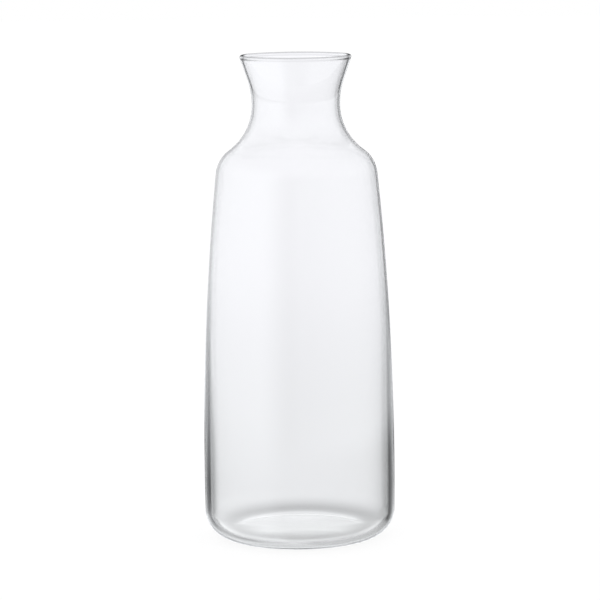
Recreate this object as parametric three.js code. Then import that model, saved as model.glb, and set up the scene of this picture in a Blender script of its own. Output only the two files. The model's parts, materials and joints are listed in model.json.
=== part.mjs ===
// A glass carafe without a handle: one piece of clear glass, blown in a mould, with a polished rim.
// Millimetres, Z up. The carafe stands on z = 0 and its axis is the Z axis.
import * as THREE from 'three';

// Outside of the glass
const overallHeight = 253;
const bodyDiameter = 100;
const widestHeight = 36.4; // the body is widest here, low down
const sideRadius = 1505; // the side is one long, shallow arc
const heelRadius = 14;
const shoulderRadius = 16.4;
const neckDiameter = 45.7; // at the waist of the neck
const waistBelowRim = 25.5;
const underWaistRadius = 29.7; // hollow sweep from the waist down to the shoulder
const overWaistRadius = 40; // hollow sweep from the waist up to the flare
const flareAngle = THREE.MathUtils.degToRad(18.9); // lean of the mouth's straight flare from upright

// Thickness of the glass
const neckWall = 1.2;
const rimBulge = 0.8; // the rim's bead stands this far into the mouth
const rimFilletRadius = 0.8; // hollow round under the bead
const lowerWall = 3;
const thickeningHeight = 140; // from here down to the widest place, neckWall grows to lowerWall
const baseThickness = 3.7; // at the middle, over the hollow of the underside
const innerHeelRadius = 11;

// Underside and floor
const puntDepth = 0.5; // hollow of the underside, inside the foot ring
const footRingWidth = 5;
const floorRise = 1; // the floor inside swells up this much at the middle

// Fineness of the facets
const chordError = 0.1;
const leastArcSteps = 3;
const dishSteps = 5;
const segmentsAround = 60; // four times a whole number, so the widest places lie on X and Y

// Places worked out from the sizes, as radius and height in the half section, with directions as angles
const point = (radius, height) => new THREE.Vector2(radius, height);
const samePlace = 0.01;
const outwards = 0;
const straightUp = Math.PI / 2;
const towardsAxis = Math.PI;
const straightDown = -Math.PI / 2;
const rimRadius = (neckWall + rimBulge) / 2;
const waistHeight = overallHeight - waistBelowRim;
const floorEdgeHeight = puntDepth + baseThickness - floorRise;
const sideCentre = point(bodyDiameter / 2 - sideRadius, widestHeight);
const underWaistCentre = point(neckDiameter / 2 + underWaistRadius, waistHeight);
const overWaistCentre = point(neckDiameter / 2 + overWaistRadius, waistHeight);
const shoulderCentre = circlesMeet(
  sideCentre,
  sideRadius - shoulderRadius,
  underWaistCentre,
  underWaistRadius + shoulderRadius,
);
const heelCentre = heelIn(sideRadius, heelRadius, 0);
const innerHeelCentre = heelIn(sideRadius - lowerWall, innerHeelRadius, floorEdgeHeight);
const offFlare = point(Math.cos(flareAngle), -Math.sin(flareAngle));
const upFlare = point(Math.sin(flareAngle), Math.cos(flareAngle));
const rimCentre = rimOnFlare();
const rimFilletCentre = filletUnderRim();
const heelTop = direction(sideCentre, heelCentre);
const innerHeelTop = direction(sideCentre, innerHeelCentre);
const sideTop = direction(sideCentre, shoulderCentre);
const shoulderTop = direction(shoulderCentre, underWaistCentre);
const rimFromFillet = direction(rimFilletCentre, rimCentre);

function direction(from, to) {
  return Math.atan2(to.y - from.y, to.x - from.x);
}

// Where two circles cross, on the right-hand side of the way from the first centre to the second
function circlesMeet(first, firstRadius, second, secondRadius) {
  const span = first.distanceTo(second);
  const along = (firstRadius ** 2 - secondRadius ** 2 + span ** 2) / (2 * span);
  const aside = Math.sqrt(firstRadius ** 2 - along ** 2);
  const way = second.clone().sub(first).divideScalar(span);
  return point(first.x + way.x * along + way.y * aside, first.y + way.y * along - way.x * aside);
}

// Centre of a round that touches the side's arc and a level floor
function heelIn(arcRadius, roundRadius, floorHeight) {
  const height = floorHeight + roundRadius;
  const reach = arcRadius - roundRadius;
  const across = Math.sqrt(reach ** 2 - (height - sideCentre.y) ** 2);
  return point(sideCentre.x + across, height);
}

// Centre of the rim's round, which touches the outside of the flare and ends at the overall height
function rimOnFlare() {
  const start = overWaistCentre.clone().addScaledVector(offFlare, -overWaistRadius - rimRadius);
  const climb = overallHeight - rimRadius - start.y;
  return start.addScaledVector(upFlare, climb / upFlare.y);
}

// Centre of the hollow round that touches the rim's round and the inside of the flare
function filletUnderRim() {
  const across = neckWall - rimRadius + rimFilletRadius;
  const down = Math.sqrt((rimRadius + rimFilletRadius) ** 2 - across ** 2);
  return rimCentre.clone().addScaledVector(offFlare, -across).addScaledVector(upFlare, -down);
}

// Points on an arc, close enough together that no chord leaves it by more than the chord error
function arc(centre, radius, from, to) {
  const step = 2 * Math.acos(1 - chordError / radius);
  const count = Math.max(leastArcSteps, Math.ceil(Math.abs(to - from) / step));
  const points = [];
  for (let i = 0; i <= count; i++) {
    const angle = THREE.MathUtils.lerp(from, to, i / count);
    points.push(point(centre.x + radius * Math.cos(angle), centre.y + radius * Math.sin(angle)));
  }
  return points;
}

// A soft swelling from the axis out to a level edge
function dish(edgeRadius, edgeHeight, rise) {
  const points = [];
  for (let i = 0; i <= dishSteps; i++) {
    const share = i / dishSteps;
    points.push(point(edgeRadius * share, edgeHeight + rise * (1 - share ** 2) ** 2));
  }
  return points;
}

// Inside of the side wall, from the shoulder down to the inner heel
function innerSide() {
  const outer = arc(sideCentre, sideRadius, sideTop, innerHeelTop);
  return outer.map((onSide) => {
    const thin = THREE.MathUtils.smoothstep(onSide.y, widestHeight, thickeningHeight);
    const wall = THREE.MathUtils.lerp(lowerWall, neckWall, thin);
    return onSide.lerp(sideCentre, wall / sideRadius);
  });
}

function outsideOfGlass() {
  return [
    ...dish(heelCentre.x - footRingWidth, 0, puntDepth),
    ...arc(heelCentre, heelRadius, straightDown, heelTop),
    ...arc(sideCentre, sideRadius, heelTop, outwards),
    ...arc(sideCentre, sideRadius, outwards, sideTop),
    ...arc(shoulderCentre, shoulderRadius, sideTop, shoulderTop),
    ...arc(underWaistCentre, underWaistRadius, towardsAxis + shoulderTop, towardsAxis),
    ...arc(overWaistCentre, overWaistRadius, towardsAxis, towardsAxis - flareAngle),
  ];
}

function rim() {
  return [
    ...arc(rimCentre, rimRadius, -flareAngle, straightUp),
    ...arc(rimCentre, rimRadius, straightUp, towardsAxis + rimFromFillet),
    ...arc(rimFilletCentre, rimFilletRadius, rimFromFillet, -flareAngle),
  ];
}

function insideOfGlass() {
  return [
    ...arc(overWaistCentre, overWaistRadius + neckWall, towardsAxis - flareAngle, towardsAxis),
    ...arc(underWaistCentre, underWaistRadius + neckWall, towardsAxis, towardsAxis + shoulderTop),
    ...arc(shoulderCentre, shoulderRadius - neckWall, shoulderTop, sideTop),
    ...innerSide(),
    ...arc(innerHeelCentre, innerHeelRadius, innerHeelTop, straightDown),
    ...dish(innerHeelCentre.x, floorEdgeHeight, floorRise).reverse(),
  ];
}

// The half section runs from the axis under the foot, up the outside, over the rim and down the inside
function halfSection() {
  const all = [...outsideOfGlass(), ...rim(), ...insideOfGlass()];
  return all.filter((here, i) => i === 0 || here.distanceTo(all[i - 1]) > samePlace);
}

const clearGlass = new THREE.MeshStandardMaterial({
  color: 0xeaf0ee,
  roughness: 0.04,
  metalness: 0,
  transparent: true,
  opacity: 0.35,
});

function glassBody() {
  const geometry = new THREE.LatheGeometry(halfSection(), segmentsAround);
  geometry.rotateX(Math.PI / 2);
  const mesh = new THREE.Mesh(geometry, clearGlass);
  mesh.name = 'glass_body';
  return mesh;
}

const carafe = new THREE.Group();
carafe.add(glassBody());
export default carafe;
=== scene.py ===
import bmesh
import bpy
import json
import math
from mathutils import Matrix, Vector

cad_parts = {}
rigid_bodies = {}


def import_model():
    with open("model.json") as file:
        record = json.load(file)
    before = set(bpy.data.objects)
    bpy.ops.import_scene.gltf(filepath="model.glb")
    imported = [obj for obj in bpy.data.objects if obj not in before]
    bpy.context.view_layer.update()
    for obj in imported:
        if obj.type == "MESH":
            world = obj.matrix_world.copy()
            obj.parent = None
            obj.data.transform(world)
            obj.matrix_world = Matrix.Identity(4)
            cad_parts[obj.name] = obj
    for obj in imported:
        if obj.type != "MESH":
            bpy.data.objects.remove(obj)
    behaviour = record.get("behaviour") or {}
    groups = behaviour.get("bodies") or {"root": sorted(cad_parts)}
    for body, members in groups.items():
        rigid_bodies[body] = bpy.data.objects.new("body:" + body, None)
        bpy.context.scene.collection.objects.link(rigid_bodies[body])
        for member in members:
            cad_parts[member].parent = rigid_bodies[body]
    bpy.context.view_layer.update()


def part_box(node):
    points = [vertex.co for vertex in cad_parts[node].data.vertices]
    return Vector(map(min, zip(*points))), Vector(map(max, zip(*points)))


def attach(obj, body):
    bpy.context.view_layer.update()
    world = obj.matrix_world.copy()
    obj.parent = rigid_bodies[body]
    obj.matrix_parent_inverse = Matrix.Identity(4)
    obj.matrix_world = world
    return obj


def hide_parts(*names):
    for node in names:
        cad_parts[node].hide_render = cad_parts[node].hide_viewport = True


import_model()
glassLow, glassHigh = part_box("glass_body")
print("frame loaded: carafe is", [round(size * 1000, 1) for size in glassHigh - glassLow], "mm")

studio = bpy.context.scene
studio.view_settings.view_transform = "Standard"
white = (1.0, 1.0, 1.0, 1.0)


# node helpers: a socket is linked, anything else is set as a plain value
def putNode(tree, kind, sockets=None, **settings):
    node = tree.nodes.new(kind)
    for name, value in settings.items():
        setattr(node, name, value)
    for name, value in (sockets or {}).items():
        if isinstance(value, bpy.types.NodeSocket):
            tree.links.new(value, node.inputs[name])
        else:
            node.inputs[name].default_value = value
    return node


def calc(tree, operation, *terms):
    return putNode(tree, "ShaderNodeMath", dict(enumerate(terms)), operation=operation).outputs[0]


def splitVector(tree, vector):
    return putNode(tree, "ShaderNodeSeparateXYZ", {0: vector}).outputs


def joinVector(tree, x, y, z):
    return putNode(tree, "ShaderNodeCombineXYZ", {"X": x, "Y": y, "Z": z}).outputs[0]


# camera at the photograph's place: long lens, a little above the rim, leaning slightly
photoView = dict(
    distance=1.521,
    height=0.340,
    aside=0.0011,
    lookDown=math.radians(8.05),
    lean=math.radians(0.585),
    lens=176.2,
    sensor=36.0,
)


def makeCamera():
    lensData = bpy.data.cameras.new("photoCamera")
    lensData.sensor_width = photoView["sensor"]
    lensData.lens = photoView["lens"]
    camera = bpy.data.objects.new("photoCamera", lensData)
    studio.collection.objects.link(camera)
    place = Matrix.Translation((photoView["aside"], -photoView["distance"], photoView["height"]))
    aim = Matrix.Rotation(math.pi / 2 - photoView["lookDown"], 4, "X")
    camera.matrix_world = place @ aim @ Matrix.Rotation(-photoView["lean"], 4, "Z")
    studio.camera = camera


makeCamera()
print("camera set")

# the carafe's half section, in metres; height and width come from the frame
carafe = dict(
    widestHeight=0.0364,
    sideRadius=1.505,
    heelRadius=0.014,
    shoulderRadius=0.0164,
    neckDiameter=0.0457,
    waistBelowRim=0.0255,
    underWaistRadius=0.0297,
    overWaistRadius=0.040,
    flareAngle=math.radians(18.9),
    neckWall=0.0012,
    rimBulge=0.0008,
    rimFillet=0.0008,
    lowerWall=0.003,
    thickeningHeight=0.140,
    baseThickness=0.0037,
    innerHeelRadius=0.011,
    puntDepth=0.0005,
    footRingWidth=0.005,
    floorRise=0.001,
    chordError=0.000004,
    leastArcSteps=6,
    dishSteps=14,
    segments=240,
    samePoint=0.000001,
    mergeDistance=0.0000001,
    rippleHeight=0.00004,  # mould-blown glass is a little wavy inside
    rippleScale=34.0,
    rippleStretch=0.45,  # waves run longer up the side than round it
    rippleDetail=1.0,
    seed=7.0,
)


def smoothShare(value, low, high):
    share = min(max((value - low) / (high - low), 0.0), 1.0)
    return share * share * (3 - 2 * share)


def heading(start, end):
    return math.atan2(end.y - start.y, end.x - start.x)


def arcPoints(centre, radius, start, end):
    step = 2 * math.acos(1 - carafe["chordError"] / radius)
    count = max(carafe["leastArcSteps"], math.ceil(abs(end - start) / step))
    angles = [start + (end - start) * i / count for i in range(count + 1)]
    return [centre + radius * Vector((math.cos(a), math.sin(a))) for a in angles]


def dishPoints(edge, level, rise):
    shares = [i / carafe["dishSteps"] for i in range(carafe["dishSteps"] + 1)]
    return [Vector((edge * s, level + rise * (1 - s * s) ** 2)) for s in shares]


def circlesMeet(first, firstRadius, second, secondRadius):
    span = (second - first).length
    along = (firstRadius ** 2 - secondRadius ** 2 + span ** 2) / (2 * span)
    aside = math.sqrt(firstRadius ** 2 - along ** 2)
    way = (second - first) / span
    return first + way * along + Vector((way.y, -way.x)) * aside


# outside from under the foot up to the rim, then inside down to the floor; x is radius and y is height
def halfSection():
    c = carafe
    height = glassHigh.z - glassLow.z
    bodyRadius = (glassHigh.x - glassLow.x) / 2
    waistHeight = height - c["waistBelowRim"]
    rimRound = (c["neckWall"] + c["rimBulge"]) / 2
    side = Vector((bodyRadius - c["sideRadius"], c["widestHeight"]))
    under = Vector((c["neckDiameter"] / 2 + c["underWaistRadius"], waistHeight))
    over = Vector((c["neckDiameter"] / 2 + c["overWaistRadius"], waistHeight))
    shoulder = circlesMeet(
        side, c["sideRadius"] - c["shoulderRadius"], under, c["underWaistRadius"] + c["shoulderRadius"]
    )

    def heelCentre(arcRadius, roundRadius, level):
        drop = level + roundRadius - side.y
        return side + Vector((math.sqrt((arcRadius - roundRadius) ** 2 - drop ** 2), drop))

    floorLevel = c["puntDepth"] + c["baseThickness"] - c["floorRise"]
    heel = heelCentre(c["sideRadius"], c["heelRadius"], 0.0)
    innerHeel = heelCentre(c["sideRadius"] - c["lowerWall"], c["innerHeelRadius"], floorLevel)

    # the rim's bead touches the outside of the flare, and a small hollow round joins it to the inside
    offFlare = Vector((math.cos(c["flareAngle"]), -math.sin(c["flareAngle"])))
    upFlare = Vector((math.sin(c["flareAngle"]), math.cos(c["flareAngle"])))
    flareStart = over - offFlare * (c["overWaistRadius"] + rimRound)
    rim = flareStart + upFlare * (height - rimRound - flareStart.y) / upFlare.y
    across = c["neckWall"] - rimRound + c["rimFillet"]
    down = math.sqrt((rimRound + c["rimFillet"]) ** 2 - across ** 2)
    fillet = rim - offFlare * across - upFlare * down
    filletToRim = heading(fillet, rim)

    sideTop = heading(side, shoulder)
    shoulderTop = heading(shoulder, under)
    outside = dishPoints(heel.x - c["footRingWidth"], 0.0, c["puntDepth"])
    outside += arcPoints(heel, c["heelRadius"], -math.pi / 2, heading(side, heel))
    outside += arcPoints(side, c["sideRadius"], heading(side, heel), 0.0)
    outside += arcPoints(side, c["sideRadius"], 0.0, sideTop)
    outside += arcPoints(shoulder, c["shoulderRadius"], sideTop, shoulderTop)
    outside += arcPoints(under, c["underWaistRadius"], math.pi + shoulderTop, math.pi)
    outside += arcPoints(over, c["overWaistRadius"], math.pi, math.pi - c["flareAngle"])
    outside += arcPoints(rim, rimRound, -c["flareAngle"], math.pi / 2)

    inside = arcPoints(rim, rimRound, math.pi / 2, math.pi + filletToRim)
    inside += arcPoints(fillet, c["rimFillet"], filletToRim, -c["flareAngle"])
    inside += arcPoints(over, c["overWaistRadius"] + c["neckWall"], math.pi - c["flareAngle"], math.pi)
    inside += arcPoints(under, c["underWaistRadius"] + c["neckWall"], math.pi, math.pi + shoulderTop)
    inside += arcPoints(shoulder, c["shoulderRadius"] - c["neckWall"], shoulderTop, sideTop)
    for onSide in arcPoints(side, c["sideRadius"], sideTop, heading(side, innerHeel)):
        thin = smoothShare(onSide.y, c["widestHeight"], c["thickeningHeight"])
        wall = c["lowerWall"] + (c["neckWall"] - c["lowerWall"]) * thin
        inside.append(onSide.lerp(side, wall / c["sideRadius"]))
    inside += arcPoints(innerHeel, c["innerHeelRadius"], heading(side, innerHeel), -math.pi / 2)
    inside += reversed(dishPoints(innerHeel.x, floorLevel, c["floorRise"]))
    return outside, inside


# Geometry Nodes: turns the half section round the axis and gives the inside its slight waves
def revolveTree():
    tree = bpy.data.node_groups.new("revolvedGlass", "GeometryNodeTree")
    sockets = tree.interface
    sockets.new_socket("Section", in_out="INPUT", socket_type="NodeSocketGeometry")
    sockets.new_socket("Segments", in_out="INPUT", socket_type="NodeSocketInt")
    for name in ("Ripple Height", "Ripple Scale", "Ripple Stretch", "Seed", "Merge Distance"):
        sockets.new_socket(name, in_out="INPUT", socket_type="NodeSocketFloat")
    sockets.new_socket("Glass", in_out="INPUT", socket_type="NodeSocketMaterial")
    sockets.new_socket("Body", in_out="OUTPUT", socket_type="NodeSocketGeometry")
    given = tree.nodes.new("NodeGroupInput").outputs
    result = tree.nodes.new("NodeGroupOutput")

    def position():
        return putNode(tree, "GeometryNodeInputPosition").outputs[0]

    def stored(name):
        reader = putNode(tree, "GeometryNodeInputNamedAttribute", {"Name": name}, data_type="FLOAT")
        return reader.outputs[0]

    def onSection(value, kind):
        inputs = {"Geometry": given["Section"], "Value": value, "Index": ring}
        return putNode(tree, "GeometryNodeSampleIndex", inputs, data_type=kind).outputs["Value"]

    # a flat grid: one row for each point of the section, one column for each segment and the seam
    count = putNode(tree, "GeometryNodeAttributeDomainSize", {"Geometry": given["Section"]})
    rings = count.outputs["Point Count"]
    columns = calc(tree, "ADD", given["Segments"], 1)
    grid = putNode(
        tree,
        "GeometryNodeMeshGrid",
        {"Size X": 1, "Size Y": 1, "Vertices X": rings, "Vertices Y": columns},
    )

    # each row takes its radius and height from its point of the section
    flat = splitVector(tree, position())
    alongShare = calc(tree, "ADD", flat["X"], 1 / 2)
    roundShare = calc(tree, "ADD", flat["Y"], 1 / 2)
    ring = calc(tree, "ROUND", calc(tree, "MULTIPLY", alongShare, calc(tree, "SUBTRACT", rings, 1)))
    turn = calc(tree, "MULTIPLY", roundShare, 2 * math.pi)
    profile = splitVector(tree, onSection(position(), "FLOAT_VECTOR"))
    turned = joinVector(
        tree,
        calc(tree, "MULTIPLY", profile["X"], calc(tree, "COSINE", turn)),
        calc(tree, "MULTIPLY", profile["X"], calc(tree, "SINE", turn)),
        profile["Z"],
    )
    waveShare = onSection(stored("inside"), "FLOAT")
    marked = putNode(
        tree,
        "GeometryNodeStoreNamedAttribute",
        {"Geometry": grid.outputs["Mesh"], "Name": "waveShare", "Value": waveShare},
        data_type="FLOAT",
        domain="POINT",
    )
    rolled = putNode(tree, "GeometryNodeSetPosition", {"Geometry": marked.outputs[0], "Position": turned})
    closed = putNode(
        tree,
        "GeometryNodeMergeByDistance",
        {"Geometry": rolled.outputs[0], "Distance": given["Merge Distance"]},
    )

    # slow waves on the inside only, along the surface's own normal
    spot = splitVector(tree, position())
    stretched = joinVector(
        tree, spot["X"], spot["Y"], calc(tree, "MULTIPLY", spot["Z"], given["Ripple Stretch"])
    )
    noise = putNode(
        tree,
        "ShaderNodeTexNoise",
        {
            "Vector": stretched,
            "W": given["Seed"],
            "Scale": given["Ripple Scale"],
            "Detail": carafe["rippleDetail"],
        },
        noise_dimensions="4D",
    )
    wave = calc(tree, "MULTIPLY", calc(tree, "SUBTRACT", noise.outputs[0], 1 / 2), 2)
    fullLift = calc(tree, "MULTIPLY", wave, given["Ripple Height"])
    lift = calc(tree, "MULTIPLY", fullLift, stored("waveShare"))
    normal = putNode(tree, "GeometryNodeInputNormal").outputs[0]
    push = putNode(tree, "ShaderNodeVectorMath", {0: normal, "Scale": lift}, operation="SCALE").outputs[0]
    wavy = putNode(tree, "GeometryNodeSetPosition", {"Geometry": closed.outputs[0], "Offset": push})
    smooth = putNode(tree, "GeometryNodeSetShadeSmooth", {"Geometry": wavy.outputs[0]})
    real = putNode(tree, "GeometryNodeRealizeInstances", {"Geometry": smooth.outputs[0]})
    glazed = putNode(
        tree, "GeometryNodeSetMaterial", {"Geometry": real.outputs[0], "Material": given["Glass"]}
    )
    tree.links.new(glazed.outputs[0], result.inputs["Body"])
    return tree


def setInputs(modifier, values):
    sockets = {item.name: item.identifier for item in modifier.node_group.interface.items_tree}
    for name, value in values.items():
        modifier[sockets[name]] = value


# clear glass: polished, with a green-grey body colour in the thick places
glassLook = dict(
    ior=1.5,
    roughness=0.0,
    transmission=1.0,
    bodyColour=(0.62, 0.80, 0.52, 1.0),
    bodyDensity=10.0,
)


def clearGlass():
    material = bpy.data.materials.new("clearGlass")
    material.use_nodes = True
    tree = material.node_tree
    tree.nodes.clear()
    glass = putNode(
        tree,
        "ShaderNodeBsdfPrincipled",
        {
            "Base Color": white,
            "Roughness": glassLook["roughness"],
            "IOR": glassLook["ior"],
            "Transmission Weight": glassLook["transmission"],
        },
    )
    tint = putNode(
        tree,
        "ShaderNodeVolumeAbsorption",
        {"Color": glassLook["bodyColour"], "Density": glassLook["bodyDensity"]},
    )
    output = putNode(tree, "ShaderNodeOutputMaterial")
    tree.links.new(glass.outputs[0], output.inputs["Surface"])
    tree.links.new(tint.outputs[0], output.inputs["Volume"])
    return material


def makeGlassBody():
    outside, inside = halfSection()
    points = outside + inside
    line = [points[0]]
    onInside = [0.0]
    for i, point in enumerate(points):
        if (point - line[-1]).length > carafe["samePoint"]:
            line.append(point)
            onInside.append(1.0 if i > len(outside) else 0.0)
    section = bpy.data.meshes.new("carafeSection")
    section.from_pydata([(p.x, 0.0, p.y) for p in line], [(i, i + 1) for i in range(len(line) - 1)], [])
    section.attributes.new("inside", "FLOAT", "POINT").data.foreach_set("value", onInside)
    former = bpy.data.objects.new("carafeFormer", section)
    studio.collection.objects.link(former)
    turning = former.modifiers.new("revolve", "NODES")
    turning.node_group = revolveTree()
    setInputs(
        turning,
        {
            "Segments": carafe["segments"],
            "Ripple Height": carafe["rippleHeight"],
            "Ripple Scale": carafe["rippleScale"],
            "Ripple Stretch": carafe["rippleStretch"],
            "Seed": carafe["seed"],
            "Merge Distance": carafe["mergeDistance"],
            "Glass": clearGlass(),
        },
    )
    bpy.context.view_layer.update()
    finished = former.evaluated_get(bpy.context.evaluated_depsgraph_get())
    mesh = bpy.data.meshes.new_from_object(finished)
    former.modifiers.remove(turning)
    bpy.data.objects.remove(former)
    shell = bmesh.new()
    shell.from_mesh(mesh)
    bmesh.ops.remove_doubles(shell, verts=shell.verts, dist=carafe["mergeDistance"])
    bmesh.ops.recalc_face_normals(shell, faces=shell.faces)
    shell.to_mesh(mesh)
    shell.free()
    mesh.name = "carafeGlass"
    body = bpy.data.objects.new("carafe_glass", mesh)
    studio.collection.objects.link(body)
    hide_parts("glass_body")
    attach(body, "root")
    return body


carafeGlass = makeGlassBody()
print("glass body:", len(carafeGlass.data.polygons), "faces")

# pale floor that keeps a soft shadow under the white; the glass looks past it at the studio
floorLook = dict(size=12.0, drop=0.0004, colour=(0.92, 0.92, 0.92, 1.0), whiteShare=0.86, whiteLevel=1.06)


def makeFloor():
    half = floorLook["size"] / 2
    mesh = bpy.data.meshes.new("studioFloor")
    corners = [(-half, -half), (half, -half), (half, half), (-half, half)]
    mesh.from_pydata([(x, y, -floorLook["drop"]) for x, y in corners], [], [(0, 1, 2, 3)])
    floor = bpy.data.objects.new("studio_floor", mesh)
    studio.collection.objects.link(floor)
    material = bpy.data.materials.new("paleFloor")
    material.use_nodes = True
    tree = material.node_tree
    tree.nodes.clear()
    matt = putNode(tree, "ShaderNodeBsdfDiffuse", {"Color": floorLook["colour"]})
    glow = putNode(tree, "ShaderNodeEmission", {"Color": white, "Strength": floorLook["whiteLevel"]})
    seen = putNode(tree, "ShaderNodeLightPath").outputs["Is Camera Ray"]
    share = calc(tree, "MULTIPLY", seen, floorLook["whiteShare"])
    both = putNode(tree, "ShaderNodeMixShader", {0: share, 1: matt.outputs[0], 2: glow.outputs[0]})
    putNode(tree, "ShaderNodeOutputMaterial", {"Surface": both.outputs[0]})
    mesh.materials.append(material)
    floor.visible_transmission = False
    floor.visible_glossy = False


makeFloor()
print("floor laid")

# studio: white to the camera, and soft light and dark patches for the glass. Angles in degrees: turn goes
# from the far side (0) to the right (90), and rise up from level. A patch fades out over edge and fade,
# outside its turn and rise, and lies over the ones before it. One without a turn goes all the way round.
# Backdrop: what is seen through the glass, a light sheet with darker gaps beside it over a pale table in
# painted shade, darker still near the carafe's foot.
# frontOnly stands behind the front view alone, inGlassOnly is met only after a bounce inside the glass.
backdropLook = dict(
    tint=(1.0, 1.0, 1.04),
    base=0.45,
    sheets=8,  # seen straight through, the backdrop repeats this often, so that every side has a sheet
    patches={
        "left gap": dict(turn=(-35, -28), edge=(5, 2), rise=(-12, 90), fade=(2, 1), level=0.05),
        "right gap": dict(turn=(20, 35), edge=(8, 8), rise=(-20, 90), fade=(5, 1), level=0.15),
        # painted shade: a black patch low on the left, seen in the lower edges of the glass
        "low dark patch": dict(turn=(-30, 8), edge=(8, 10), rise=(-50, -14), fade=(8, 8), level=0.0),
        "sheet": dict(turn=(-9, 4), edge=(10, 18), rise=(-90, 90), fade=(1, 1), level=1.0),
        # painted shade: the table under the sheet is darker than the sheet, as less lit than the backdrop
        "table": dict(turn=(-10, 5), edge=(2, 12), rise=(-90, -20), fade=(1, 15), level=0.8),
        "low table": dict(turn=(-14, 12), edge=(6, 6), rise=(-32, -24), fade=(5, 4), level=0.94),
        "strip": dict(
            turn=(0, 12), edge=(14, 4), rise=(-17, -17), fade=(6, 5), level=0.55, frontOnly=True
        ),
        # painted shade: the table darkest close to the carafe's foot, where the carafe shades it
        "shade by the foot": dict(
            turn=(-5, 40), edge=(50, 20), rise=(-65, -35), fade=(5, 15), level=0.65, frontOnly=True
        ),
        "ceiling": dict(rise=(25, 90), fade=(25, 1), level=0.85),
        "far light": dict(
            turn=(-7, 7), edge=(5, 15), rise=(-7, 0), fade=(3, 10), level=1.5, inGlassOnly=True
        ),
    },
)

# room: what is mirrored on the outside of the glass
roomLook = dict(
    tint=(0.98, 1.0, 1.03),
    base=0.0,
    patches={
        "left wall": dict(turn=(-130, -40), edge=(40, 40), rise=(-7, 90), fade=(7, 1), level=1.8),
        "right wall": dict(turn=(40, 75), edge=(40, 150), rise=(-9, 90), fade=(7, 1), level=1.15),
        "far sheet": dict(turn=(-18, 18), edge=(5, 27), rise=(-9, 4), fade=(2, 3), level=1.3),
        "far gap": dict(turn=(0, 20), edge=(30, 10), rise=(-6, 8), fade=(4, 3), level=0.1),
        "left low": dict(turn=(-135, 50), edge=(30, 105), rise=(-90, -13.5), fade=(1, 2), level=1.4),
        "right low": dict(turn=(45, 178), edge=(30, 140), rise=(-90, -11), fade=(1, 2), level=0.0),
        "ceiling": dict(rise=(55, 90), fade=(55, 1), level=0.7),
    },
)
ambientLight = (0.9, 0.9, 0.92, 1.0)


def softStep(tree, value, start, end):
    return putNode(
        tree,
        "ShaderNodeMapRange",
        {"Value": value, "From Min": math.radians(start), "From Max": math.radians(end)},
        interpolation_type="SMOOTHSTEP",
    ).outputs[0]


def mixColour(tree, share, first, second):
    return putNode(tree, "ShaderNodeMix", {0: share, 6: first, 7: second}, data_type="RGBA").outputs[2]


def tinted(level, tint):
    return (*[level * part for part in tint], 1.0)


def paintPatch(tree, under, turn, rise, patch, tint, share=1.0):
    low, high = patch["rise"]
    lowFade, highFade = patch["fade"]
    masks = [softStep(tree, rise, low - lowFade, low), softStep(tree, rise, high + highFade, high)]
    if "turn" in patch:
        left, right = patch["turn"]
        leftEdge, rightEdge = patch["edge"]
        masks.append(softStep(tree, turn, left - leftEdge, left))
        masks.append(softStep(tree, turn, right + rightEdge, right))
    for mask in masks:
        share = calc(tree, "MULTIPLY", share, mask)
    return mixColour(tree, share, under, tinted(patch["level"], tint))


def makeStudio():
    world = bpy.data.worlds.new("studioWorld")
    studio.world = world
    world.use_nodes = True
    tree = world.node_tree
    tree.nodes.clear()
    path = putNode(tree, "ShaderNodeLightPath").outputs
    way = splitVector(tree, putNode(tree, "ShaderNodeTexCoord").outputs["Generated"])
    rise = calc(tree, "ARCSINE", way["Z"])
    trueTurn = calc(tree, "ARCTAN2", way["X"], way["Y"])
    halfSheet = math.pi / backdropLook["sheets"]
    repeated = calc(tree, "WRAP", trueTurn, halfSheet, -halfSheet)
    bounced = calc(tree, "GREATER_THAN", path["Glossy Depth"], 1 / 2)
    anySide = putNode(tree, "ShaderNodeMix", {0: bounced, 2: repeated, 3: trueTurn}).outputs[0]

    backdrop = tinted(backdropLook["base"], backdropLook["tint"])
    for patch in backdropLook["patches"].values():
        turn = trueTurn if patch.get("frontOnly") else anySide
        share = bounced if patch.get("inGlassOnly") else 1.0
        backdrop = paintPatch(tree, backdrop, turn, rise, patch, backdropLook["tint"], share)
    room = tinted(roomLook["base"], roomLook["tint"])
    for patch in roomLook["patches"].values():
        room = paintPatch(tree, room, trueTurn, rise, patch, roomLook["tint"])

    inGlass = mixColour(tree, path["Is Transmission Ray"], room, backdrop)
    shiny = calc(tree, "MAXIMUM", path["Is Glossy Ray"], path["Is Transmission Ray"])
    lit = mixColour(tree, shiny, ambientLight, inGlass)
    shown = mixColour(tree, path["Is Camera Ray"], lit, white)
    sky = putNode(tree, "ShaderNodeBackground", {"Color": shown, "Strength": 1.0})
    putNode(tree, "ShaderNodeOutputWorld", {"Surface": sky.outputs[0]})


makeStudio()
print("studio lit")
